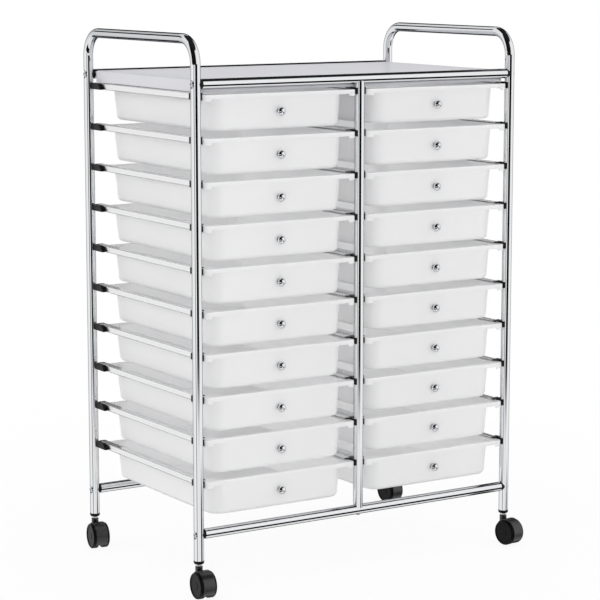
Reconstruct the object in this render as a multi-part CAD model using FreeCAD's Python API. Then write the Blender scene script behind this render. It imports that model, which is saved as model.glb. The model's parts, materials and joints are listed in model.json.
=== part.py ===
import FreeCAD, Part
import math
import os

os.makedirs("parts", exist_ok=True)
Vec = FreeCAD.Vector
ALONG_X = Vec(1, 0, 0)
ALONG_Y = Vec(0, 1, 0)
ALONG_Z = Vec(0, 0, 1)

# Driving sizes in millimetres. X runs left to right seen from the front, the front faces -Y,
# Z is up from the floor.
# The origin is the floor point midway between the contacts of the four casters.

# Tube frame
leg_span_x = 625.0
leg_span_y = 370.0
tube_dia = 16.5
tube_wall = 1.2
leg_end_z = 59.3
hoop_bar_z = 905.3
hoop_bend_r = 40.0
top_rail_z = 834.3
bottom_rail_z = 102.8

# Rows of drawers
row_count = 10
row_pitch = 69.85
top_row_z = 814.3

# Folded steel runners
runner_height = 11.0
runner_depth = 12.0
runner_sheet = 1.2
runner_bend_r = 1.8
runner_setback = 15.0
web_inset = 6.0

# Moulded end caps of the runners
cap_nose = 6.5
cap_front_pad = 7.0
cap_back_pad_top = 25.0
cap_back_pad_low = 34.0
cap_stop_wall = 2.5
cap_peg_dia = 4.0
cap_peg_len = 4.0
cap_boss_setback = 4.5
cap_pad_height = 10.4
cap_cheek_reach = 5.0
cap_cheek_gap = 0.7

# Drawer trays
side_play = 2.5
seat_gap = 0.3
rim_height = 6.8
rim_sheet = 2.0
skirt_wall = 1.8
rim_corner_r = 9.0
rim_edge_r = 0.9
rim_front_reach = 7.0
rim_stop_gap = 1.5
tab_width = 15.0
tab_drop = 3.6
tray_height = 59.5
tray_wall = 2.0
side_flange = 15.0
front_flange = 6.5
back_flange = 9.0
side_draft = 4.5
front_draft = 4.0
back_draft = 8.0
body_corner_r = 30.0
foot_r = 7.0
knob_drop = 30.0

# Knobs and their screws
knob_base_dia = 9.0
knob_neck_dia = 7.5
knob_head_dia = 14.5
knob_reach = 13.5
knob_base_len = 1.2
knob_neck_len = 3.0
knob_edge_r = 1.4
crown_share = 0.62
knob_screw_dia = 4.0
knob_screw_grip = 8.0
knob_screw_head_dia = 8.0
knob_screw_head_len = 2.4

# Top shelf
shelf_top_z = 840.3
shelf_sheet = 1.2
shelf_flange = 19.0
shelf_fold_r = 3.0
shelf_corner_r = 6.0
shelf_side_gap = 0.3
shelf_screw_x = 150.0

# Fastenings of the tubes
ferrule_dia = 15.5
ferrule_len = 1.8
plug_len = 22.0
screw_dia = 5.0
dome_dia = 12.5
dome_height = 3.0
dome_sunk = 2.2
dome_seat_dia = 14.0
hex_key = 4.0
socket_share = 0.6
post_head_dia = 9.0
post_head_height = 1.8
post_head_skirt = 0.4
horn_share = 0.55
shelf_screw_dia = 4.0
shelf_screw_head_dia = 7.5
shelf_screw_head_len = 2.2
shelf_screw_len = 7.0

# Casters
wheel_dia = 44.0
wheel_gap = 8.6
wheel_out_x = 15.0
caster_trail = 15.5
axle_dia = 5.0
hood_gap = 0.5
hood_sheet = 1.3
hood_half_x = 10.4
hood_web = 7.8
neck_dia = 12.4
neck_top_z = 50.4
stem_pin_dia = 6.0
stem_plug_dia = 8.0
stem_collar_dia = 10.0
stem_foot_z = 31.0
leg_plug_flange_dia = 17.5
leg_plug_flange_len = 5.8
leg_plug_edge_r = 3.4
running_gap = 0.05
tread_edge_r = 2.6
tread_inner_r = 1.2
wheel_rim = 3.0
wheel_disc = 2.2
wheel_dish = 1.2
hub_dia = 13.0
hood_front_deg = -34.0
hood_back_deg = 140.0
front_left_deg = -3.0
front_right_deg = 8.0
back_left_deg = -8.0
back_right_deg = 4.0

overrun = 3.0

# Derived sizes
tube_r = tube_dia / 2
bore_r = tube_r - tube_wall
leg_x = leg_span_x / 2
leg_y = leg_span_y / 2
column_x = leg_span_x / 4
runner_end_y = leg_y - runner_setback
runner_half = runner_height / 2
row_heights = [top_row_z - row_pitch * i for i in range(row_count)]
rim_half = column_x - web_inset - runner_sheet - side_play
rim_low = runner_sheet + seat_gap - runner_half
rim_top = rim_low + rim_height
rim_front = -leg_y - rim_front_reach
stop_face_y = leg_y - runner_setback + cap_nose - cap_stop_wall
rim_back = stop_face_y - rim_stop_gap
tray_low = rim_top - tray_height
wheel_r = wheel_dia / 2
hood_in_r = wheel_r + hood_gap
hood_out_r = hood_in_r + hood_sheet


def rod(radius, length, start, direction):
    return Part.makeCylinder(radius, length, start, direction)


def pipe(outer, inner, length, start, direction):
    return rod(outer, length, start, direction).cut(rod(inner, length, start, direction))


def block(x0, x1, y0, y1, z0, z1):
    return Part.makeBox(x1 - x0, y1 - y0, z1 - z0, Vec(x0, y0, z0))


def spun(points, axis_point, axis, degrees=360.0):
    face = Part.Face(Part.makePolygon(points + points[:1]))
    return face.revolve(axis_point, axis, degrees)


def joined(first, *others):
    return first.fuse(list(others)).removeSplitter()


def moved(shape, x=0.0, y=0.0, z=0.0):
    copy = shape.copy()
    copy.translate(Vec(x, y, z))
    return copy


def flipped_x(shape):
    return shape.mirror(Vec(0, 0, 0), ALONG_X)


def flipped_y(shape):
    return shape.mirror(Vec(0, 0, 0), ALONG_Y)


def save(name, shapes):
    group = shapes[0] if len(shapes) == 1 else Part.makeCompound(shapes)
    moved(group, y=caster_trail).exportStep("parts/" + name + ".step")
    print(name, len(shapes), all(s.isValid() and s.Volume > 0 for s in shapes))


def rounded_outline(half_x, y0, y1, radius, z):
    arc_mid = radius * (1 - math.sqrt(2) / 2)
    x0, x1 = -half_x, half_x
    a, b = Vec(x0 + radius, y0, z), Vec(x1 - radius, y0, z)
    c, d = Vec(x1, y0 + radius, z), Vec(x1, y1 - radius, z)
    e, f = Vec(x1 - radius, y1, z), Vec(x0 + radius, y1, z)
    g, h = Vec(x0, y1 - radius, z), Vec(x0, y0 + radius, z)
    return Part.Wire([
        Part.makeLine(a, b),
        Part.Arc(b, Vec(x1 - arc_mid, y0 + arc_mid, z), c).toShape(),
        Part.makeLine(c, d),
        Part.Arc(d, Vec(x1 - arc_mid, y1 - arc_mid, z), e).toShape(),
        Part.makeLine(e, f),
        Part.Arc(f, Vec(x0 + arc_mid, y1 - arc_mid, z), g).toShape(),
        Part.makeLine(g, h),
        Part.Arc(h, Vec(x0 + arc_mid, y0 + arc_mid, z), a).toShape(),
    ])


def edges_at(shape, z):
    level = [e for e in shape.Edges if e.BoundBox.ZLength < running_gap]
    return [e for e in level if abs(e.BoundBox.ZMin - z) < running_gap]


# Hoops: one tube each, bent over the top, dimpled and drilled for the rail screws,
# drilled for the pegs of the runner caps
def hoop_path():
    bend_z = hoop_bar_z - hoop_bend_r
    bend_y = leg_y - hoop_bend_r
    chord = hoop_bend_r * math.sqrt(2) / 2
    front_foot = Vec(0, -leg_y, leg_end_z)
    front_bend = Vec(0, -leg_y, bend_z)
    front_mid = Vec(0, -bend_y - chord, bend_z + chord)
    front_top = Vec(0, -bend_y, hoop_bar_z)
    back_top = Vec(0, bend_y, hoop_bar_z)
    back_mid = Vec(0, bend_y + chord, bend_z + chord)
    back_bend = Vec(0, leg_y, bend_z)
    back_foot = Vec(0, leg_y, leg_end_z)
    return Part.Wire([
        Part.makeLine(front_foot, front_bend),
        Part.Arc(front_bend, front_mid, front_top).toShape(),
        Part.makeLine(front_top, back_top),
        Part.Arc(back_top, back_mid, back_bend).toShape(),
        Part.makeLine(back_bend, back_foot),
    ])


def swept(radius):
    ring = Part.Wire(Part.makeCircle(radius, Vec(0, -leg_y, leg_end_z), ALONG_Z))
    return hoop_path().makePipeShell([ring], True, False)


def seat_hollow(depth):
    return rod(dome_seat_dia / 2, depth + overrun, Vec(-tube_r - overrun, 0, 0), ALONG_X)


def dimple():
    cup_r = dome_seat_dia / 2 + tube_wall
    cup = rod(cup_r, dome_sunk + tube_wall, Vec(-tube_r, 0, 0), ALONG_X)
    return cup.common(rod(tube_r, 2 * dome_seat_dia, Vec(0, 0, -dome_seat_dia), ALONG_Z))


hoop = swept(tube_r).cut(swept(bore_r))
peg_x = web_inset / 2
hoop_dimples = []
hoop_cuts = []
for side_y in (-leg_y, leg_y):
    for rail_z in (top_rail_z, bottom_rail_z):
        hoop_dimples.append(moved(dimple(), y=side_y, z=rail_z))
        hoop_cuts.append(moved(seat_hollow(dome_sunk), y=side_y, z=rail_z))
        hole_start = Vec(-tube_r - overrun, side_y, rail_z)
        hoop_cuts.append(rod(screw_dia / 2, tube_dia + overrun, hole_start, ALONG_X))
hoop = joined(hoop, *hoop_dimples)
for z in row_heights:
    peg_hole = rod(cap_peg_dia / 2, leg_span_y, Vec(peg_x, -leg_y, z), ALONG_Y)
    hoop_cuts.append(peg_hole)
hoop = hoop.cut(hoop_cuts)
left_hoop = moved(hoop, x=-leg_x)
right_hoop = flipped_x(left_hoop)

# Rails: straight tubes across the front and back. The top pair has spigots that the centre posts plug onto,
# the bottom pair is drilled for the screws that draw the posts down
rail_half = leg_x - tube_r - ferrule_len


def rail(y, z):
    return pipe(tube_r, bore_r, 2 * rail_half, Vec(-rail_half, y, z), ALONG_X)


def top_rail(y):
    inward = Vec(0, -y, 0).normalize()
    holes = []
    for x in (-shelf_screw_x, shelf_screw_x):
        holes.append(rod(shelf_screw_dia / 2, tube_dia, Vec(x, y, top_rail_z), inward))
    root = Vec(0, y, top_rail_z - tube_r + tube_wall / 2)
    spigot = rod(screw_dia / 2, tube_wall / 2 + plug_len / 2, root, -ALONG_Z)
    return joined(rail(y, top_rail_z).cut(holes), spigot)


def bottom_rail(y):
    start = Vec(0, y, bottom_rail_z - tube_r - overrun / 2)
    return rail(y, bottom_rail_z).cut(rod(screw_dia / 2, tube_dia + overrun, start, ALONG_Z))


top_rails = [top_rail(-leg_y), top_rail(leg_y)]
bottom_rails = [bottom_rail(-leg_y), bottom_rail(leg_y)]

# Centre posts: tubes coped over the rails at both ends, with holes for the pegs of the centre caps
def centre_post(y):
    low = bottom_rail_z + tube_r * (1 - horn_share)
    high = top_rail_z - tube_r * (1 - horn_share)
    tube = pipe(tube_r, bore_r, high - low, Vec(0, y, low), ALONG_Z)
    copes = [rod(tube_r, 2 * tube_dia, Vec(-tube_dia, y, z), ALONG_X) for z in (bottom_rail_z, top_rail_z)]
    inward = Vec(0, -y, 0).normalize()
    holes = [rod(cap_peg_dia / 2, tube_dia, Vec(0, y, z), inward) for z in row_heights]
    return tube.cut(copes + holes)


centre_posts = [centre_post(-leg_y), centre_post(leg_y)]

# Plugs: saddle ferrules in the rail ends and coped plugs in the post ends, both bored for screws
def ferrule(y, z):
    end_x = -rail_half
    collar = rod(ferrule_dia / 2, leg_x - rail_half, Vec(-leg_x, y, z), ALONG_X)
    plug = rod(bore_r, plug_len, Vec(end_x, y, z), ALONG_X)
    leg = rod(tube_r, 2 * tube_dia, Vec(-leg_x, y, z - tube_dia), ALONG_Z)
    bore = rod(screw_dia / 2, leg_x, Vec(-leg_x, y, z), ALONG_X)
    return joined(collar, plug).cut([leg, bore])


def post_plug(y, rail_z, up):
    start = Vec(0, y, rail_z + up * tube_r * (1 - horn_share))
    plug = rod(bore_r, plug_len, start, Vec(0, 0, up))
    cope = rod(tube_r, 2 * tube_dia, Vec(-tube_dia, y, rail_z), ALONG_X)
    bore = rod(screw_dia / 2, 2 * plug_len, Vec(0, y, rail_z), Vec(0, 0, up))
    return plug.cut([cope, bore])


tube_plugs = []
for y in (-leg_y, leg_y):
    for z in (top_rail_z, bottom_rail_z):
        left = ferrule(y, z)
        tube_plugs += [left, flipped_x(left)]
    tube_plugs += [post_plug(y, bottom_rail_z, 1), post_plug(y, top_rail_z, -1)]


# Screws: domed heads with a hexagon socket, pointing along +X. A rail screw's head is sunk in a dimple
# of the leg, a post screw's head stands on the rail with a skirt
def domed_screw(head_dia, height, skirt_len, sunk, reach):
    head_r = head_dia / 2
    bulge = (head_r ** 2 + height ** 2) / (2 * height)
    base_x = -tube_r - skirt_len + sunk
    dome = Part.makeSphere(bulge, Vec(base_x + bulge - height, 0, 0))
    cap = dome.common(rod(head_r, height + overrun, Vec(base_x - height - overrun, 0, 0), ALONG_X))
    skirt = rod(head_r, -base_x, Vec(base_x, 0, 0), ALONG_X)
    shank = rod(screw_dia / 2, reach - base_x, Vec(base_x, 0, 0), ALONG_X)
    turns = [k * math.pi / 3 for k in range(6)]
    corners = [Vec(base_x - height, hex_key / 2 * math.cos(a), hex_key / 2 * math.sin(a)) for a in turns]
    socket = Part.Face(Part.makePolygon(corners + corners[:1])).extrude(Vec(height * socket_share, 0, 0))
    tube = rod(tube_r, 2 * head_dia, Vec(0, 0, -head_dia), ALONG_Z).cut(seat_hollow(sunk))
    head = joined(cap, skirt).cut([tube, socket])
    return joined(head, shank)


def turned(shape, axis, degrees):
    copy = shape.copy()
    copy.rotate(Vec(0, 0, 0), axis, degrees)
    return copy


rail_screw = domed_screw(dome_dia, dome_height, 0.0, dome_sunk, tube_r + ferrule_len + plug_len / 2)
post_screw = domed_screw(post_head_dia, post_head_height, post_head_skirt, 0.0, tube_r + plug_len / 2)
post_screw = turned(post_screw, ALONG_Y, -90)
frame_screws = []
for y in (-leg_y, leg_y):
    for z in (top_rail_z, bottom_rail_z):
        left = moved(rail_screw, -leg_x, y, z)
        frame_screws += [left, flipped_x(left)]
    frame_screws.append(moved(post_screw, 0, y, bottom_rail_z))

# Top shelf: a pressed pan with its edge folded down all round, held by small screws into the top rails
shelf_half_x = leg_x - tube_r - shelf_side_gap
shelf_half_y = leg_y - tube_r - shelf_side_gap
shelf_low_z = shelf_top_z - shelf_flange


def pan(inset, top_z, fold_r, corner_r):
    edge_y = shelf_half_y - inset
    outline = rounded_outline(shelf_half_x - inset, -edge_y, edge_y, corner_r, shelf_low_z)
    solid = Part.Face(outline).extrude(Vec(0, 0, top_z - shelf_low_z))
    return solid.makeFillet(fold_r, edges_at(solid, top_z))


top_shelf = pan(0.0, shelf_top_z, shelf_fold_r, shelf_corner_r).cut(
    pan(shelf_sheet, shelf_top_z - shelf_sheet, shelf_fold_r - shelf_sheet, shelf_corner_r - shelf_sheet))
for x in (-shelf_screw_x, shelf_screw_x):
    top_shelf = top_shelf.cut(rod(shelf_screw_dia / 2, leg_span_y, Vec(x, -leg_y, top_rail_z), ALONG_Y))
    inner_y = shelf_half_y - shelf_sheet
    head = rod(shelf_screw_head_dia / 2, shelf_screw_head_len, Vec(x, inner_y, top_rail_z), -ALONG_Y)
    rim = [e for e in head.Edges if e.BoundBox.YMax < inner_y - shelf_screw_head_len / 2]
    head = head.makeFillet(shelf_screw_head_len / 2, rim)
    shank = rod(shelf_screw_dia / 2, shelf_screw_len, Vec(x, inner_y, top_rail_z), ALONG_Y)
    back_screw = joined(head, shank)
    frame_screws += [back_screw, flipped_y(back_screw)]


# Runners: folded C strips, open towards the drawer. Built with the web's outer face on x = 0
# and the opening at +x
def c_section(y0, y1, height, depth, sheet, bend_r):
    half = height / 2
    outer = block(0, depth, y0, y1, -half, half)
    inner = block(sheet, depth + overrun, y0 - overrun, y1 + overrun, sheet - half, half - sheet)
    corners = [e for e in outer.Edges if e.BoundBox.XMax < sheet / 2 and e.BoundBox.YLength > (y1 - y0) / 2]
    return outer.makeFillet(bend_r, corners).cut(inner)


boss_front_y = -runner_end_y + cap_boss_setback
runner = c_section(-runner_end_y, runner_end_y, runner_height, runner_depth, runner_sheet, runner_bend_r)
for y in (boss_front_y, -boss_front_y):
    runner = runner.cut(rod(cap_peg_dia / 2, runner_sheet + overrun, Vec(-overrun / 2, y, 0), ALONG_X))


# End caps: a nose that carries on the runner's section, a pad on the outside of its web,
# a saddle and a peg on the tube.
# The front cap also has a cheek that runs forward beside the tube.
# The back cap closes its nose with a wall that stops the drawer.
def cap_nose_piece(y0, y1):
    return c_section(y0, y1, runner_height, runner_depth, runner_sheet, runner_bend_r)


def saddle_cut(shape, tube_x, tube_y, peg_at):
    tube = rod(tube_r, 2 * tube_dia, Vec(tube_x, tube_y, -tube_dia), ALONG_Z)
    toward = 1 if tube_y > 0 else -1
    peg_start = Vec(peg_at, tube_y - toward * (tube_r + cap_peg_len), 0)
    peg = rod(cap_peg_dia / 2, cap_peg_len + tube_wall, peg_start, Vec(0, toward, 0))
    return joined(shape.cut(tube), peg)


def back_pad(x0, x1):
    half = cap_pad_height / 2
    front_y = leg_y
    profile = [
        Vec(x0, front_y, -half),
        Vec(x0, front_y, half),
        Vec(x0, leg_y - tube_r - cap_back_pad_top, half),
        Vec(x0, leg_y - tube_r - cap_back_pad_low, -half),
    ]
    return Part.Face(Part.makePolygon(profile + profile[:1])).extrude(Vec(x1 - x0, 0, 0))


def nose_stop():
    half = runner_half
    end_y = runner_end_y + cap_nose
    wall_y = end_y - cap_stop_wall
    return block(runner_sheet, runner_depth, wall_y, end_y, runner_sheet - half, half - runner_sheet)


def web_boss(y):
    return rod(cap_peg_dia / 2, runner_sheet, Vec(0, y, 0), ALONG_X)


pad_half = cap_pad_height / 2
front_nose = cap_nose_piece(-runner_end_y - cap_nose, -runner_end_y)
back_nose = joined(cap_nose_piece(runner_end_y, runner_end_y + cap_nose), nose_stop())
cheek_x = runner_sheet + side_play - cap_cheek_gap
cheek = block(-web_inset, cheek_x, -leg_y - cap_cheek_reach, -runner_end_y - cap_nose, -pad_half, pad_half)
front_pad = block(-web_inset, 0, -leg_y, -runner_end_y + cap_front_pad, -pad_half, pad_half)
front_pad = joined(front_pad, cheek)
front_half = joined(front_nose, front_pad, web_boss(boss_front_y))
side_front_cap = saddle_cut(front_half, -web_inset, -leg_y, peg_x - web_inset)
side_back_cap = saddle_cut(joined(back_nose, back_pad(-web_inset, 0), web_boss(-boss_front_y)),
                           -web_inset, leg_y, peg_x - web_inset)


def doubled(shape):
    return joined(shape, shape.mirror(Vec(-web_inset, 0, 0), ALONG_X))


centre_front_cap = saddle_cut(doubled(front_half), -web_inset, -leg_y, -web_inset)
centre_back_cap = saddle_cut(doubled(joined(back_nose, back_pad(-web_inset, 0), web_boss(-boss_front_y))),
                             -web_inset, leg_y, -web_inset)

left_web_x = -leg_x + web_inset
drawer_runners = []
runner_caps = []
for z in row_heights:
    outer_left = moved(runner, x=left_web_x, z=z)
    inner_right = moved(runner, x=web_inset, z=z)
    drawer_runners += [outer_left, flipped_x(inner_right), inner_right, flipped_x(outer_left)]
    for cap in (side_front_cap, side_back_cap):
        left = moved(cap, x=left_web_x, z=z)
        runner_caps += [left, flipped_x(left)]
    runner_caps += [moved(centre_front_cap, x=web_inset, z=z), moved(centre_back_cap, x=web_inset, z=z)]


# Drawer tray: a drafted body with wide corner radii under a flat rim with a turned-down skirt.
# The row's height is z = 0
def body_outline(z, inset):
    share = (rim_top - z) / tray_height
    half_x = rim_half - side_flange - side_draft * share - inset
    y0 = rim_front + front_flange + front_draft * share + inset
    y1 = rim_back - back_flange - back_draft * share - inset
    return rounded_outline(half_x, y0, y1, body_corner_r - front_draft * share - inset, z)


def drafted(low, high, inset, base_r):
    solid = Part.makeLoft([body_outline(low, inset), body_outline(high, inset)], True, True)
    return solid.makeFillet(base_r, edges_at(solid, low))


def lip_block(inset, height):
    front_y = rim_front + inset
    back_y = rim_back - inset
    outline = rounded_outline(rim_half - inset, front_y, back_y, rim_corner_r - inset, rim_low)
    return Part.Face(outline).extrude(Vec(0, 0, height))


lip = lip_block(0.0, rim_height)
lip = lip.makeFillet(rim_edge_r, edges_at(lip, rim_top))
lip_hollow = lip_block(skirt_wall, rim_height - rim_sheet)
tab_ring = moved(lip, z=-tab_drop).cut(moved(lip_hollow, z=-tab_drop))
tab_back = rim_front + rim_corner_r
tabs = []
for x in (-rim_half, rim_half - tab_width):
    tabs.append(tab_ring.common(block(x, x + tab_width, rim_front, tab_back, rim_low - tab_drop, rim_low)))
tray = joined(lip.cut(lip_hollow), *tabs)
tray = joined(tray, drafted(tray_low, rim_top, 0.0, foot_r))
tray = tray.cut(drafted(tray_low + tray_wall, rim_top + overrun, tray_wall, foot_r - tray_wall))

# Knob: turned on the front wall's normal, with a screw from inside the tray
front_lean = math.degrees(math.atan2(front_draft, tray_height))
knob_z = rim_top - knob_drop
knob_wall_y = rim_front + front_flange + front_draft * knob_drop / tray_height


def turned_knob():
    base_r = knob_base_dia / 2
    neck_r = knob_neck_dia / 2
    head_r = knob_head_dia / 2
    crown_depth = (knob_reach - knob_neck_len) * crown_share
    rim_y = crown_depth - knob_reach
    crown_r = (head_r ** 2 + crown_depth ** 2) / (2 * crown_depth)
    bend = math.asin(head_r / crown_r) / 2
    rim = Vec(head_r, rim_y, 0)
    tip = Vec(0, -knob_reach, 0)
    crown = Vec(crown_r * math.sin(bend), crown_r * (1 - math.cos(bend)) - knob_reach, 0)
    foot = [Vec(0, 0, 0), Vec(base_r, 0, 0), Vec(base_r, -knob_base_len, 0), Vec(neck_r, -knob_base_len, 0),
            Vec(neck_r, -knob_neck_len, 0), rim]
    edges = [Part.makeLine(p, q) for p, q in zip(foot, foot[1:])]
    edges += [Part.Arc(rim, crown, tip).toShape(), Part.makeLine(tip, foot[0])]
    solid = Part.Face(Part.Wire(edges)).revolve(Vec(0, 0, 0), ALONG_Y, 360.0)
    widest = [e for e in solid.Edges if abs(e.BoundBox.XMax - head_r) < running_gap]
    solid = solid.makeFillet(knob_edge_r, widest)
    return solid.cut(rod(knob_screw_dia / 2, knob_screw_grip, Vec(0, 0, 0), -ALONG_Y))


def knob_screw():
    head = rod(knob_screw_head_dia / 2, knob_screw_head_len, Vec(0, tray_wall, 0), ALONG_Y)
    edge = [e for e in head.Edges if e.BoundBox.YMin > tray_wall + knob_screw_head_len / 2]
    head = head.makeFillet(knob_screw_head_len / 2, edge)
    shank = rod(knob_screw_dia / 2, tray_wall + knob_screw_grip, Vec(0, tray_wall, 0), -ALONG_Y)
    return joined(head, shank)


def on_front(shape):
    return moved(turned(shape, ALONG_X, front_lean), y=knob_wall_y, z=knob_z)


knob_pieces = [on_front(turned_knob()), on_front(knob_screw())]
knob_hole = rod(knob_screw_dia / 2, 2 * tray_wall + overrun, Vec(0, -overrun / 2, 0), ALONG_Y)
tray = tray.cut(on_front(knob_hole))

# Casters, built with the stem on x = y = 0 and the wheels trailing towards -y
axle_y = -caster_trail
axle_at = Vec(0, axle_y, wheel_r)
web_half = hood_web / 2


def around_axle(radius, degrees):
    angle = math.radians(degrees)
    return axle_y - radius * math.cos(angle), wheel_r + radius * math.sin(angle)


def fan(radius, half_x):
    y0, z0 = around_axle(radius, hood_front_deg)
    ym, zm = around_axle(radius, (hood_front_deg + hood_back_deg) / 2)
    y1, z1 = around_axle(radius, hood_back_deg)
    start, mid, end = Vec(-half_x, y0, z0), Vec(-half_x, ym, zm), Vec(-half_x, y1, z1)
    centre = Vec(-half_x, axle_y, wheel_r)
    rim = Part.Arc(start, mid, end).toShape()
    wire = Part.Wire([Part.makeLine(centre, start), rim, Part.makeLine(end, centre)])
    return Part.Face(wire).extrude(Vec(2 * half_x, 0, 0))


hood_start = Vec(-hood_half_x, axle_y, wheel_r)
hood_band = fan(hood_out_r, hood_half_x).cut(rod(hood_in_r, 2 * hood_half_x, hood_start, ALONG_X))
hood_edges = [e for e in hood_band.Edges if abs(abs(e.BoundBox.Center.x) - hood_half_x) < running_gap
              and e.BoundBox.DiagonalLength > wheel_r and abs(e.Curve.Radius - hood_out_r) < running_gap]
hood_band = hood_band.makeFillet(hood_sheet / 2, hood_edges)
hub_disc = rod(hub_dia / 2, hood_web, Vec(-web_half, axle_y, wheel_r), ALONG_X)
neck_base_z = wheel_r + hood_in_r / 2
neck = rod(neck_dia / 2, neck_top_z - neck_base_z, Vec(0, 0, neck_base_z), ALONG_Z)
neck = neck.makeFillet(hood_sheet / 2, edges_at(neck, neck_top_z))
keep_out = rod(hood_in_r, neck_dia, Vec(web_half, axle_y, wheel_r), ALONG_X)
neck = neck.cut([keep_out, rod(hood_in_r, neck_dia, Vec(-web_half, axle_y, wheel_r), -ALONG_X)])
hood = joined(hood_band, fan(hood_in_r + hood_sheet / 2, web_half), hub_disc, neck)
hood = hood.cut([
    rod(stem_pin_dia / 2 + running_gap, neck_top_z, Vec(0, 0, stem_foot_z - hood_gap), ALONG_Z),
    rod(axle_dia / 2 + running_gap, 2 * hood_web, Vec(-hood_web, axle_y, wheel_r), ALONG_X),
])


def rings(solid, x):
    at_x = [e for e in solid.Edges if abs(e.BoundBox.Center.x - x) < running_gap]
    return [e for e in at_x if hasattr(e.Curve, "Radius") and abs(e.Curve.Radius - wheel_r) < running_gap]


def wheel():
    inner_x = wheel_gap / 2
    rim_in = wheel_r - wheel_rim
    dish_x = wheel_out_x - wheel_dish
    boss_x = wheel_out_x - wheel_dish / 2
    disc_x = dish_x - wheel_disc
    hub_r = hub_dia / 2
    axle_r = axle_dia / 2
    points = [
        Vec(inner_x, axle_r, 0), Vec(inner_x, hub_r, 0), Vec(disc_x, hub_r, 0), Vec(disc_x, rim_in, 0),
        Vec(inner_x, rim_in, 0), Vec(inner_x, wheel_r, 0),
        Vec(wheel_out_x, wheel_r, 0), Vec(wheel_out_x, rim_in, 0),
        Vec(dish_x, rim_in - wheel_dish, 0), Vec(dish_x, hub_r, 0),
        Vec(boss_x, hub_r - wheel_dish, 0), Vec(boss_x, axle_r, 0),
    ]
    solid = spun(points, Vec(0, 0, 0), ALONG_X)
    solid = solid.makeFillet(tread_edge_r, rings(solid, wheel_out_x))
    solid = solid.makeFillet(tread_inner_r, rings(solid, inner_x))
    return moved(solid, y=axle_y, z=wheel_r)


right_wheel = wheel()
axle_half = wheel_out_x - wheel_dish / 2
axle = rod(axle_dia / 2, 2 * axle_half, Vec(-axle_half, axle_y, wheel_r), ALONG_X)
wheel_pair = [right_wheel, flipped_x(right_wheel), axle]

# Caster stems and the plugs that hold them in the legs
plug_low_z = leg_end_z - leg_plug_flange_len
plug_flange = rod(leg_plug_flange_dia / 2, leg_plug_flange_len, Vec(0, 0, plug_low_z), ALONG_Z)
plug_flange = plug_flange.makeFillet(leg_plug_edge_r, edges_at(plug_flange, plug_low_z))
leg_plug = joined(plug_flange, rod(bore_r, plug_len, Vec(0, 0, leg_end_z), ALONG_Z))
leg_plug = leg_plug.cut(rod(stem_plug_dia / 2, plug_len, Vec(0, 0, plug_low_z), ALONG_Z))
stem = joined(
    rod(stem_pin_dia / 2, plug_low_z - stem_foot_z, Vec(0, 0, stem_foot_z), ALONG_Z),
    rod(stem_collar_dia / 2, plug_low_z - neck_top_z - seat_gap, Vec(0, 0, neck_top_z + seat_gap), ALONG_Z),
    rod(stem_plug_dia / 2, plug_len, Vec(0, 0, plug_low_z), ALONG_Z),
)

corners = {
    "front_left": (-leg_x, -leg_y, front_left_deg),
    "front_right": (leg_x, -leg_y, front_right_deg),
    "back_left": (-leg_x, leg_y, back_left_deg),
    "back_right": (leg_x, leg_y, back_right_deg),
}

# One file for each named piece
save("left_hoop", [left_hoop])
save("right_hoop", [right_hoop])
save("top_rails", top_rails)
save("bottom_rails", bottom_rails)
save("centre_posts", centre_posts)
save("tube_plugs", tube_plugs)
save("frame_screws", frame_screws)
save("top_shelf", [top_shelf])
save("drawer_runners", drawer_runners)
save("runner_caps", runner_caps)
save("leg_plugs", [moved(leg_plug, x, y) for x, y, _ in corners.values()])
save("caster_stems", [moved(stem, x, y) for x, y, _ in corners.values()])
for name, (x, y, degrees) in corners.items():
    save(name + "_caster_hood", [moved(turned(hood, ALONG_Z, degrees), x, y)])
    save(name + "_caster_wheels", [moved(turned(w, ALONG_Z, degrees), x, y) for w in wheel_pair])
for side, x in (("left", -column_x), ("right", column_x)):
    for i, z in enumerate(row_heights):
        number = "%02d" % (i + 1)
        save(side + "_drawer_" + number, [moved(tray, x, 0, z)])
        save(side + "_knob_" + number, [moved(k, x, 0, z) for k in knob_pieces])
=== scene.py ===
import json
import math
import bpy
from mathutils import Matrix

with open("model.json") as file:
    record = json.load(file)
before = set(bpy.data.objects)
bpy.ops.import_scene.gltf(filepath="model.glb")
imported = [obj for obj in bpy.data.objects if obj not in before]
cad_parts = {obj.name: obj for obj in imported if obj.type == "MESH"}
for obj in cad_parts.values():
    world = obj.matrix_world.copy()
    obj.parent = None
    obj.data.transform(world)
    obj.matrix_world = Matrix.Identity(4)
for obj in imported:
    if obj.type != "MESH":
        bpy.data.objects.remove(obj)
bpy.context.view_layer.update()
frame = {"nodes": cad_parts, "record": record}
nodes = frame["nodes"]
print("frame loaded:", len(nodes), "nodes")


def linear(hexColour):  # sRGB hex to linear RGBA
    parts = [int(hexColour[i:i + 2], 16) / 255 for i in (1, 3, 5)]
    return [c / 12.92 if c <= 0.04045 else ((c + 0.055) / 1.055) ** 2.4 for c in parts] + [1.0]


def addNode(tree, kind, inputs=None, **settings):  # links sockets, sets values, and puts settings on the node
    node = tree.nodes.new("ShaderNode" + kind)
    for name, value in settings.items():
        setattr(node, name, value)
    for name, value in (inputs or {}).items():
        if isinstance(value, bpy.types.NodeSocket):
            tree.links.new(value, node.inputs[name])
        else:
            node.inputs[name].default_value = value
    return node


def newMaterial(name):
    material = bpy.data.materials.new(name)
    material.use_nodes = True
    material.node_tree.nodes.clear()
    return material, material.node_tree


def metres(millimetres):
    return millimetres / 1000


def perMetre(millimetres):  # noise cycles per metre for a feature of that size
    return 1 / metres(millimetres)


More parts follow.
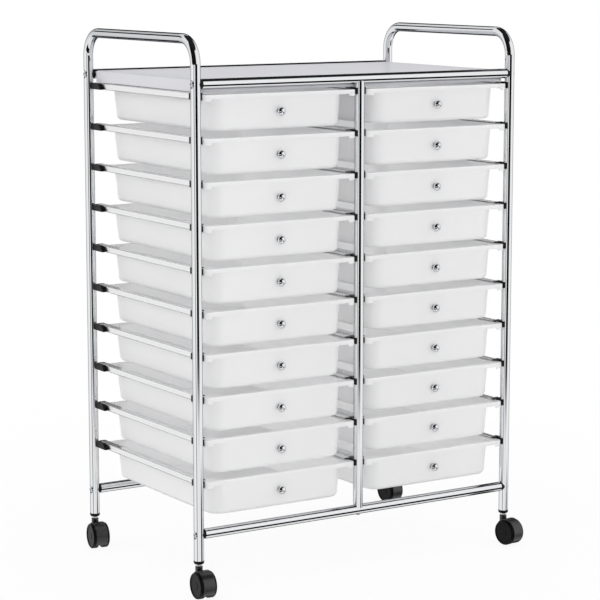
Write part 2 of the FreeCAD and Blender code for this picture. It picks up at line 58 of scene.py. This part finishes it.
# Chrome plate, buffed on drawn steel tube: mirror streaks and faint cloudiness from handling; the dark edge
# tint is painted shade that darkens the mirror at grazing angles
chromeTube = {"colour": "#E9EAEC", "edge": "#55575B", "smooth": 0.035, "clouded": 0.085,
              "cloudMm": 60.0, "cloudStretch": 0.35, "octaves": 3.0, "fineness": 0.6,
              "cloudRange": (0.35, 0.75)}
# The same plate on the turned knobs, with smaller clouds and the same painted shade at the edges
chromeKnob = {"colour": "#E9EAEC", "edge": "#55575B", "smooth": 0.03, "clouded": 0.06,
              "cloudMm": 6.0, "cloudStretch": 0.35, "octaves": 3.0, "fineness": 0.6,
              "cloudRange": (0.35, 0.75)}


def chromePlate(name, look):
    material, tree = newMaterial(name)
    place = addNode(tree, "TexCoord")
    drawn = addNode(tree, "Mapping", {"Vector": place.outputs["Object"], "Scale": (1, 1, look["cloudStretch"])})
    clouds = addNode(tree, "TexNoise", {"Vector": drawn.outputs["Vector"], "Scale": perMetre(look["cloudMm"]),
                                        "Detail": look["octaves"], "Roughness": look["fineness"]})
    clear, thick = look["cloudRange"]
    gloss = addNode(tree, "MapRange", {"Value": clouds.outputs["Fac"], "From Min": clear, "From Max": thick,
                                       "To Min": look["smooth"], "To Max": look["clouded"]})
    plate = addNode(tree, "BsdfPrincipled", {"Base Color": linear(look["colour"]), "Metallic": 1.0,
                                             "Roughness": gloss.outputs["Result"],
                                             # the dark edge colour is painted shade: it darkens the reflection
                                             # along the outlines of tubes and knobs
                                             "Specular Tint": linear(look["edge"])})
    addNode(tree, "OutputMaterial", {"Surface": plate.outputs["BSDF"]})
    return material


# Zinc-plated steel, tumbled: softer and bluer than the chrome
zincScrew = {"colour": "#D5D8DC", "smooth": 0.16, "rough": 0.3, "grainMm": 1.5, "octaves": 2.0}


def zincPlate(look):
    material, tree = newMaterial("zincPlatedSteel")
    place = addNode(tree, "TexCoord")
    grain = addNode(tree, "TexNoise", {"Vector": place.outputs["Object"], "Scale": perMetre(look["grainMm"]),
                                       "Detail": look["octaves"]})
    gloss = addNode(tree, "MapRange", {"Value": grain.outputs["Fac"],
                                       "To Min": look["smooth"], "To Max": look["rough"]})
    plate = addNode(tree, "BsdfPrincipled", {"Base Color": linear(look["colour"]), "Metallic": 1.0,
                                             "Roughness": gloss.outputs["Result"]})
    addNode(tree, "OutputMaterial", {"Surface": plate.outputs["BSDF"]})
    return material


# Bright rolled steel strip, folded: streaks along the fold
rolledStrip = {"colour": "#F2F2F3", "smooth": 0.2, "rough": 0.28, "streakMm": 0.9, "streakLength": 60.0,
               "octaves": 2.0}


def rolledSteel(look):
    material, tree = newMaterial("rolledBrightSteelStrip")
    place = addNode(tree, "TexCoord")
    rolled = addNode(tree, "Mapping", {"Vector": place.outputs["Object"],
                                       "Scale": (1, 1 / look["streakLength"], 1)})
    streaks = addNode(tree, "TexNoise", {"Vector": rolled.outputs["Vector"],
                                         "Scale": perMetre(look["streakMm"]), "Detail": look["octaves"]})
    gloss = addNode(tree, "MapRange", {"Value": streaks.outputs["Fac"],
                                       "To Min": look["smooth"], "To Max": look["rough"]})
    strip = addNode(tree, "BsdfPrincipled", {"Base Color": linear(look["colour"]), "Metallic": 1.0,
                                             "Roughness": gloss.outputs["Result"]})
    addNode(tree, "OutputMaterial", {"Surface": strip.outputs["BSDF"]})
    return material


# Stove enamel on pressed sheet: pale lilac grey, nearly matt, with a thin shiny skin and faint orange peel
shelfEnamel = {"colour": "#D6D6DB", "roughness": 0.5, "sheen": 0.1, "skin": 0.1, "skinRoughness": 0.08,
               "peelMm": 4.0, "peelDepthMm": 0.012, "octaves": 1.0}


def stovedEnamel(look):
    material, tree = newMaterial("stovedEnamelOnSheet")
    place = addNode(tree, "TexCoord")
    peel = addNode(tree, "TexNoise", {"Vector": place.outputs["Object"], "Scale": perMetre(look["peelMm"]),
                                      "Detail": look["octaves"]})
    bump = addNode(tree, "Bump", {"Height": peel.outputs["Fac"], "Distance": metres(look["peelDepthMm"])})
    enamel = addNode(tree, "BsdfPrincipled", {"Base Color": linear(look["colour"]),
                                              "Roughness": look["roughness"],
                                              "Specular IOR Level": look["sheen"],
                                              "Coat Weight": look["skin"],
                                              "Coat Roughness": look["skinRoughness"],
                                              "Normal": bump.outputs["Normal"]})
    addNode(tree, "OutputMaterial", {"Surface": enamel.outputs["BSDF"]})
    return material


# Polypropylene, injection moulded and unpigmented: milky, with a dull sheen and fine grain
# passShare is how much lamp and bounced light goes through the thin walls, which brightens the insides
milkyTray = {"colour": "#F6F6F8", "deep": "#F2F2F4", "scatter": 0.9, "depthMm": 6.0, "passShare": 0.94,
             "roughness": 0.3, "ior": 1.49, "flowMm": 120.0, "flowOctaves": 2.0, "grainMm": 1.6,
             "grainDepthMm": 0.02, "grainOctaves": 1.0}


def milkyPolypropylene(look):
    material, tree = newMaterial("milkyMouldedPolypropylene")
    place = addNode(tree, "TexCoord")
    flow = addNode(tree, "TexNoise", {"Vector": place.outputs["Object"], "Scale": perMetre(look["flowMm"]),
                                      "Detail": look["flowOctaves"]})
    blend = addNode(tree, "ValToRGB", {"Fac": flow.outputs["Fac"]})
    blend.color_ramp.elements[0].color = linear(look["deep"])
    blend.color_ramp.elements[1].color = linear(look["colour"])
    grain = addNode(tree, "TexNoise", {"Vector": place.outputs["Object"], "Scale": perMetre(look["grainMm"]),
                                       "Detail": look["grainOctaves"]})
    bump = addNode(tree, "Bump", {"Height": grain.outputs["Fac"], "Distance": metres(look["grainDepthMm"])})
    depth = metres(look["depthMm"])
    wall = addNode(tree, "BsdfPrincipled", {"Base Color": blend.outputs["Color"],
                                            "Roughness": look["roughness"], "IOR": look["ior"],
                                            "Subsurface Weight": look["scatter"],
                                            "Subsurface Radius": (depth, depth, depth), "Subsurface Scale": 1.0,
                                            "Normal": bump.outputs["Normal"]})
    ray = addNode(tree, "LightPath")
    soft = addNode(tree, "Math", {0: ray.outputs["Is Diffuse Ray"], 1: ray.outputs["Is Shadow Ray"]},
                   operation="MAXIMUM")
    share = addNode(tree, "Math", {0: soft.outputs[0], 1: look["passShare"]}, operation="MULTIPLY")
    through = addNode(tree, "BsdfTransparent")
    mixed = addNode(tree, "MixShader", {0: share.outputs[0], 1: wall.outputs[0], 2: through.outputs[0]})
    addNode(tree, "OutputMaterial", {"Surface": mixed.outputs[0]})
    return material


# Glass-filled nylon, moulded in black: deep and dull, with spark-eroded grain
blackNylon = {"colour": "#070708", "roughness": 0.42, "sheen": 0.25, "grainMm": 0.8, "grainDepthMm": 0.03,
              "octaves": 1.0}
# Polyamide hood, moulded in black and polished in the tool: it takes a soft grey highlight
blackHood = {"colour": "#0D0D0E", "roughness": 0.34, "sheen": 0.9, "grainMm": 1.2, "grainDepthMm": 0.02,
             "octaves": 1.0}
# Polyamide wheel, moulded in black: a dull face with a faint grain
blackWheel = {"colour": "#070708", "roughness": 0.36, "sheen": 0.13, "grainMm": 1.2, "grainDepthMm": 0.02,
              "octaves": 1.0}


def mouldedBlack(name, look):
    material, tree = newMaterial(name)
    place = addNode(tree, "TexCoord")
    grain = addNode(tree, "TexNoise", {"Vector": place.outputs["Object"], "Scale": perMetre(look["grainMm"]),
                                       "Detail": look["octaves"]})
    bump = addNode(tree, "Bump", {"Height": grain.outputs["Fac"], "Distance": metres(look["grainDepthMm"])})
    plastic = addNode(tree, "BsdfPrincipled", {"Base Color": linear(look["colour"]),
                                               "Roughness": look["roughness"],
                                               "Specular IOR Level": look["sheen"],
                                               "Normal": bump.outputs["Normal"]})
    addNode(tree, "OutputMaterial", {"Surface": plastic.outputs["BSDF"]})
    return material


finishes = {
    "chrome_tube": chromePlate("chromePlatedTube", chromeTube),
    "knob_chrome": chromePlate("chromePlatedKnob", chromeKnob),
    "bright_steel": zincPlate(zincScrew),
    "runner_steel": rolledSteel(rolledStrip),
    "shelf_enamel": stovedEnamel(shelfEnamel),
    "drawer_plastic": milkyPolypropylene(milkyTray),
    "black_plastic": mouldedBlack("mouldedBlackNylon", blackNylon),
    "caster_wheel": mouldedBlack("mouldedBlackWheel", blackWheel),
}
hoodFinish = mouldedBlack("mouldedBlackHood", blackHood)
for row in frame["record"]["subparts"]:
    mesh = nodes[row["node"]].data
    mesh.materials.clear()
    isHood = row["node"].endswith("_hood")
    mesh.materials.append(hoodFinish if isHood else finishes[row["material_slot"]])
print("finishes set:", len(finishes) + 1)

# Floor: a pale sweep that stays white to the camera and keeps a soft shadow
floorLook = {"half": 40.0, "colour": "#F4F4F4", "whiteShare": 0.92, "near": 0.5, "far": 2.2, "drop": 0.0002}


def makeFloor(look):
    half, low = look["half"], -look["drop"]
    mesh = bpy.data.meshes.new("floor")
    mesh.from_pydata([(-half, -half, low), (half, -half, low), (half, half, low), (-half, half, low)],
                     [], [(0, 1, 2, 3)])
    floor = bpy.data.objects.new("floor", mesh)
    bpy.context.scene.collection.objects.link(floor)
    material, tree = newMaterial("paleFloor")
    ray = addNode(tree, "LightPath")
    seen = addNode(tree, "Math", {0: ray.outputs["Is Camera Ray"], 1: ray.outputs["Is Glossy Ray"]},
                   operation="MAXIMUM")
    seen = addNode(tree, "Math", {0: seen.outputs[0], 1: ray.outputs["Is Transmission Ray"]},
                   operation="MAXIMUM")
    spot = addNode(tree, "NewGeometry")
    away = addNode(tree, "VectorMath", {0: spot.outputs["Position"]}, operation="LENGTH")
    fade = addNode(tree, "MapRange", {"Value": away.outputs["Value"],
                                      "From Min": look["near"], "From Max": look["far"],
                                      "To Min": look["whiteShare"], "To Max": 1.0},
                   interpolation_type="SMOOTHSTEP")
    share = addNode(tree, "Math", {0: seen.outputs[0], 1: fade.outputs["Result"]}, operation="MULTIPLY")
    matt = addNode(tree, "BsdfDiffuse", {"Color": linear(look["colour"])})
    white = addNode(tree, "Emission", {"Color": (1, 1, 1, 1), "Strength": 1.0})
    mixed = addNode(tree, "MixShader", {0: share.outputs[0], 1: matt.outputs[0], 2: white.outputs[0]})
    addNode(tree, "OutputMaterial", {"Surface": mixed.outputs[0]})
    mesh.materials.append(material)
    floor.visible_glossy = False  # the metal mirrors the studio instead


makeFloor(floorLook)

# Studio: pale all round, with white cards and black flags that only mirrors show, as for a product picture
# turn is degrees round from straight in front to the right, rise the sine of the height above the horizon
# each is the middle, half the size and the soft edge
studio = {"soft": 0.89, "walls": 0.93, "cards": [
    {"turn": (-100, 18, 10), "rise": (-0.12, 0.17, 0.04), "level": 1.0},  # white streak left on the legs
    {"turn": (-44, 7, 5), "rise": (-0.15, 0.14, 0.03), "level": 1.0},  # white streak at their middle
    {"turn": (-61, 5, 4), "rise": (-0.15, 0.14, 0.03), "level": 0.15},  # grey line between the two
    {"turn": (55, 38, 10), "rise": (0.15, 0.45, 0.08), "level": 1.0},  # white on the front rails
    {"turn": (184, 11, 5), "rise": (0.50, 0.10, 0.05), "level": 1.0},  # white along the handles
    {"turn": (-10, 23, 5), "rise": (-0.05, 0.13, 0.04), "level": 0.006},  # black line down the legs
    {"turn": (-58, 46, 8), "rise": (0.40, 0.38, 0.03), "level": 0.006},  # dark heart of the knobs
    {"turn": (-52, 40, 8), "rise": (-0.50, 0.18, 0.04), "level": 0.006},
    {"turn": (43, 16, 5), "rise": (-0.47, 0.22, 0.03), "level": 0.006},  # black line along the front rails
    {"turn": (125, 22, 6), "rise": (-0.58, 0.20, 0.04), "level": 0.03},  # dark lower edge of the front rails
    {"turn": (128, 12, 6), "rise": (0.58, 0.17, 0.05), "level": 0.05},  # dark upper edge of the front rails
    {"turn": (0, 180, 1), "rise": (0.92, 0.155, 0.03), "level": 0.015},  # dark ceiling
    {"turn": (154, 15, 4), "rise": (0.36, 0.18, 0.04), "level": 0.02},  # dark lines along the handles
    {"turn": (205, 8, 3), "rise": (0.345, 0.10, 0.03), "level": 0.01},
    {"turn": (182, 26, 6), "rise": (-0.52, 0.10, 0.04), "level": 0.02},
]}


def makeStudio(look):
    world = bpy.data.worlds.new("studio")
    world.use_nodes = True
    tree = world.node_tree
    tree.nodes.clear()
    ray = addNode(tree, "LightPath")
    way = addNode(tree, "SeparateXYZ", {"Vector": addNode(tree, "TexCoord").outputs["Generated"]})
    front = addNode(tree, "Math", {0: way.outputs["Y"], 1: -1.0}, operation="MULTIPLY")
    turn = addNode(tree, "Math", {0: way.outputs["X"], 1: front.outputs[0]}, operation="ARCTAN2")
    turn = addNode(tree, "Math", {0: turn.outputs[0]}, operation="DEGREES")
    measures = {"turn": (turn.outputs[0], 180.0), "rise": (way.outputs["Z"], 2.0)}  # with half the wrap
    level = look["walls"]
    for card in look["cards"]:
        edges = []
        for name, (value, span) in measures.items():
            middle, half, blur = card[name]
            off = addNode(tree, "Math", {0: value, 1: middle}, operation="SUBTRACT")
            off = addNode(tree, "Math", {0: off.outputs[0], 1: span, 2: -span}, operation="WRAP")
            off = addNode(tree, "Math", {0: off.outputs[0]}, operation="ABSOLUTE")
            edge = addNode(tree, "MapRange", {"Value": off.outputs[0],
                                              "From Min": half, "From Max": half + blur,
                                              "To Min": 1.0, "To Max": 0.0}, interpolation_type="SMOOTHSTEP")
            edges.append(edge.outputs["Result"])
        mask = addNode(tree, "Math", {0: edges[0], 1: edges[1]}, operation="MULTIPLY")
        held = addNode(tree, "Mix", {"Factor": mask.outputs[0], "A": level, "B": card["level"]})
        level = held.outputs["Result"]
    bright = addNode(tree, "Background", {"Color": (1, 1, 1, 1), "Strength": 1.0})
    mirrored = addNode(tree, "Background", {"Color": (1, 1, 1, 1), "Strength": level})
    soft = addNode(tree, "Background", {"Color": (1, 1, 1, 1), "Strength": look["soft"]})
    lit = addNode(tree, "MixShader", {0: ray.outputs["Is Glossy Ray"], 1: soft.outputs[0],
                                      2: mirrored.outputs[0]})
    seen = addNode(tree, "Math", {0: ray.outputs["Is Camera Ray"], 1: ray.outputs["Is Transmission Ray"]},
                   operation="MAXIMUM")
    shown = addNode(tree, "MixShader", {0: seen.outputs[0], 1: lit.outputs[0], 2: bright.outputs[0]})
    addNode(tree, "OutputWorld", {"Surface": shown.outputs[0]})
    bpy.context.scene.world = world


makeStudio(studio)

lamps = {
    "overheadSoftbox": {"at": (-0.6, -0.8, 3.2), "aim": (0, 0, 0.5), "size": 2.4, "watts": 12.0},
    "frontSoftbox": {"at": (-1.4, -3.2, 1.8), "aim": (0, 0, 0.5), "size": 2.0, "watts": 7.0},
    "sideSoftbox": {"at": (-3.2, 0.5, 1.2), "aim": (0, 0, 0.5), "size": 2.0, "watts": 11.0},
    "farSoftbox": {"at": (3.0, -1.4, 1.2), "aim": (0, 0, 0.5), "size": 2.0, "watts": 7.0},
}
for name, lamp in lamps.items():
    light = bpy.data.lights.new(name, "AREA")
    light.shape = "SQUARE"
    light.size = lamp["size"]
    light.energy = lamp["watts"]
    holder = bpy.data.objects.new(name, light)
    bpy.context.scene.collection.objects.link(holder)
    holder.location = lamp["at"]
    aim = [a - b for a, b in zip(lamp["aim"], lamp["at"])]
    tilt = math.atan2(math.hypot(aim[0], aim[1]), -aim[2])
    holder.rotation_euler = (tilt, 0, math.atan2(-aim[0], aim[1]))
    holder.visible_camera = False
    holder.visible_glossy = False  # mirrors show the cards only
print("studio lit:", len(lamps), "lamps")

# Camera at the photograph's height and angle
cameraLook = {"at": (-2.0421, -3.1963, 1.0339), "yaw": 32.458, "dip": 8.881, "lens": 131.93,
              "clipEnd": 100.0}
lens = bpy.data.cameras.new("camera")
lens.lens = cameraLook["lens"]
lens.clip_end = cameraLook["clipEnd"]
camera = bpy.data.objects.new("camera", lens)
bpy.context.scene.collection.objects.link(camera)
camera.location = cameraLook["at"]
camera.rotation_euler = (math.radians(90 - cameraLook["dip"]), 0, math.radians(-cameraLook["yaw"]))
bpy.context.scene.camera = camera
bpy.context.scene.view_settings.view_transform = "Standard"
